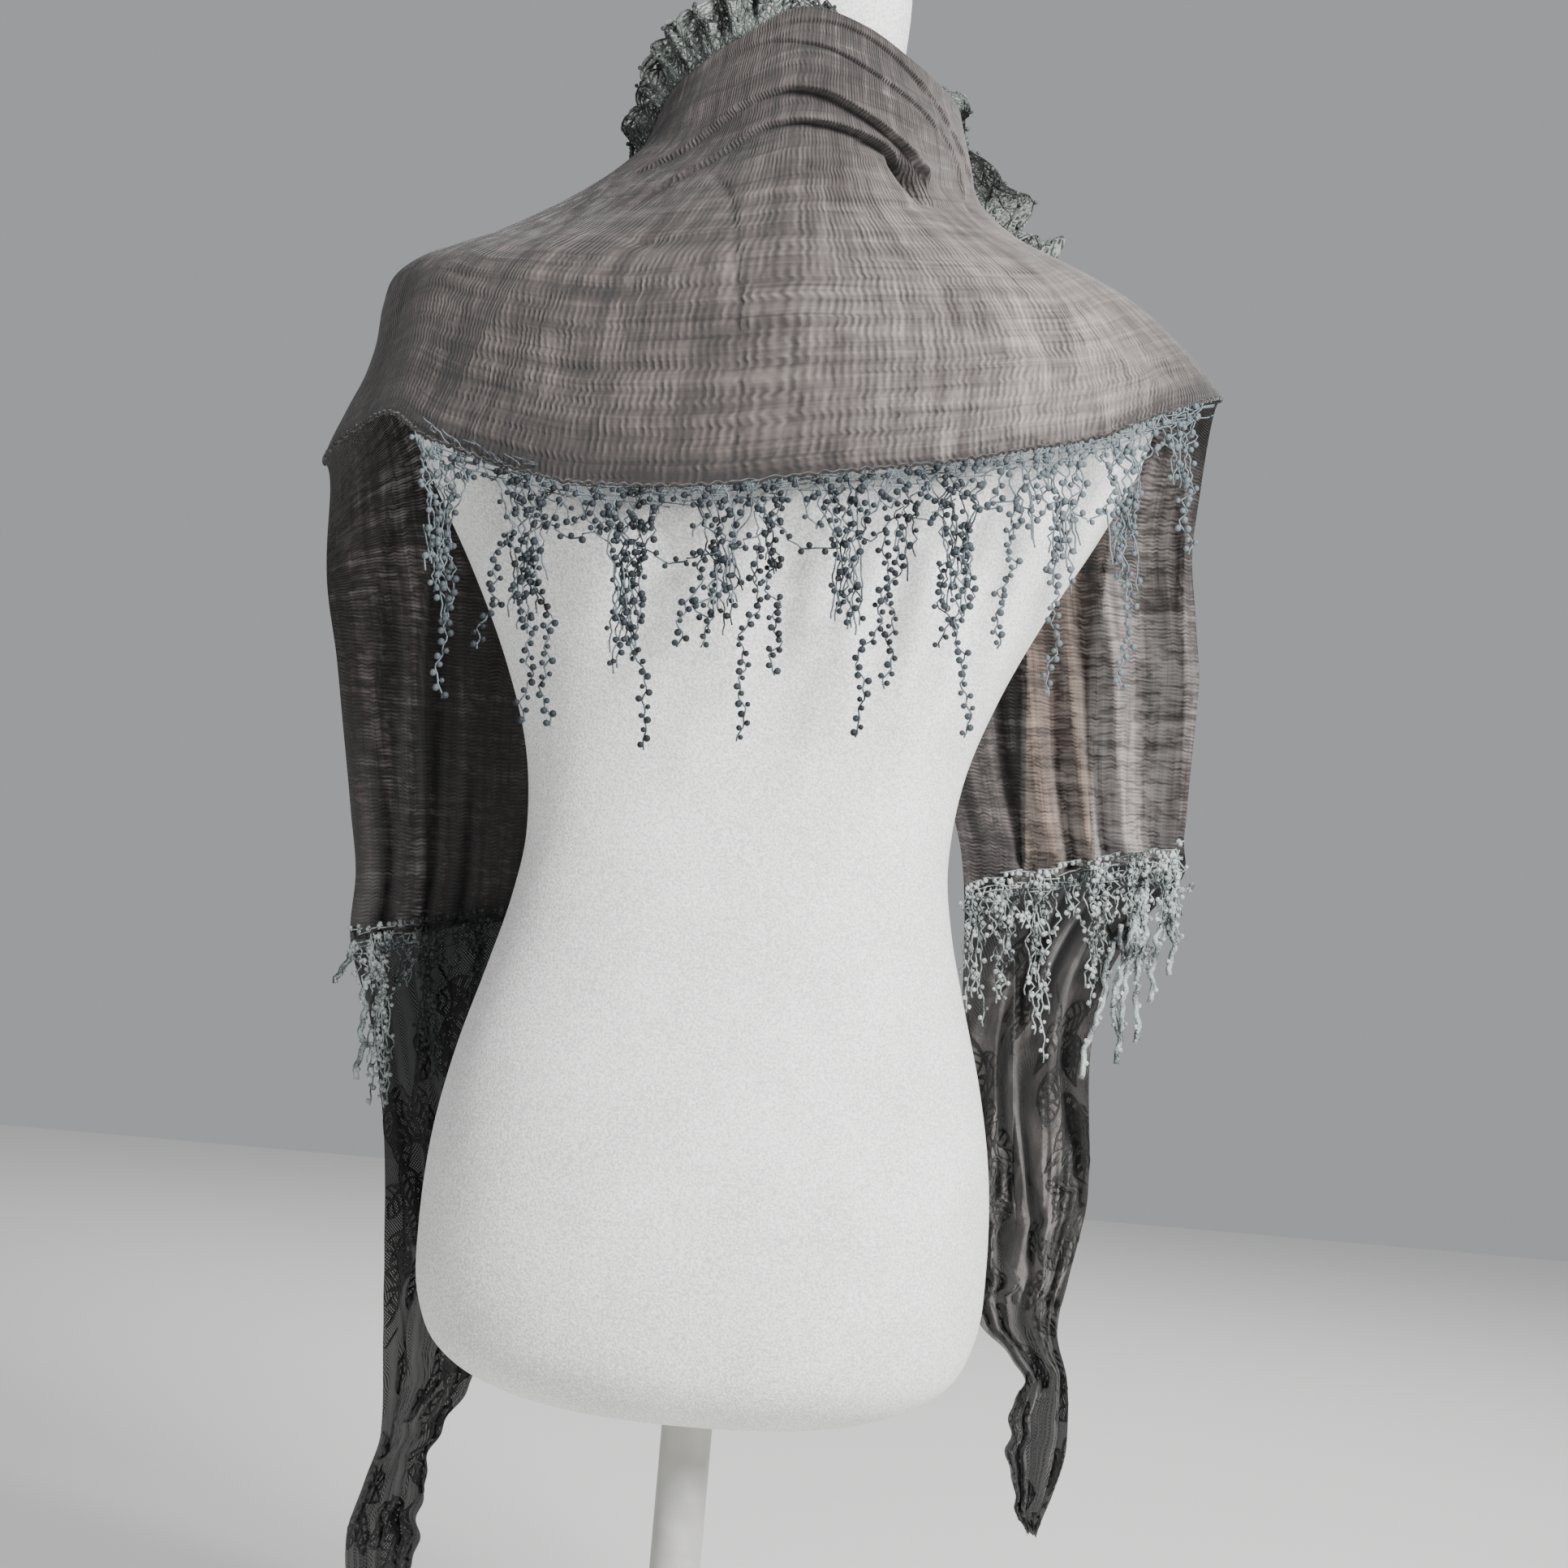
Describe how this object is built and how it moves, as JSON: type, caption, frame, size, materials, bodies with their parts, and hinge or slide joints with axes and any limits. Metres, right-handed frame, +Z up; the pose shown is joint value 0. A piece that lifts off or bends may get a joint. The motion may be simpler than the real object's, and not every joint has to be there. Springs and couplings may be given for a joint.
{
  "type": "lace shawl on a limbless dress form",
  "caption": "Long gauze and lace shawl draped over the shoulders of a limbless dress form on a round stand, both ends hanging in front.",
  "frame": {"origin": "on the floor, under the middle of the round base", "axes": "+Z up; the back of the form, which the picture shows, faces -Y; +X is the viewer's right from behind"},
  "size_m": [0.5354, 0.28, 1.12],
  "materials": {
    "gauze": "crinkled, slubby open cotton gauze in taupe",
    "end_lace": "charcoal burnout lace with leaf motifs",
    "trim_lace": "blue-grey guipure lace of vines and berries",
    "jersey_cover": "off-white cotton jersey",
    "stand_paint": "satin pale grey paint"
  },
  "bodies": {
    "root": {"dress_form": "jersey_cover", "stand_pole": "stand_paint", "stand_base": "stand_paint", "shawl_back": "gauze", "fall_left": "gauze", "fall_right": "gauze", "lace_end_left": "end_lace", "lace_end_right": "end_lace", "fringe_back": "trim_lace", "fringe_left": "trim_lace", "fringe_right": "trim_lace", "neck_trim": "trim_lace"}
  },
  "joints": []
}
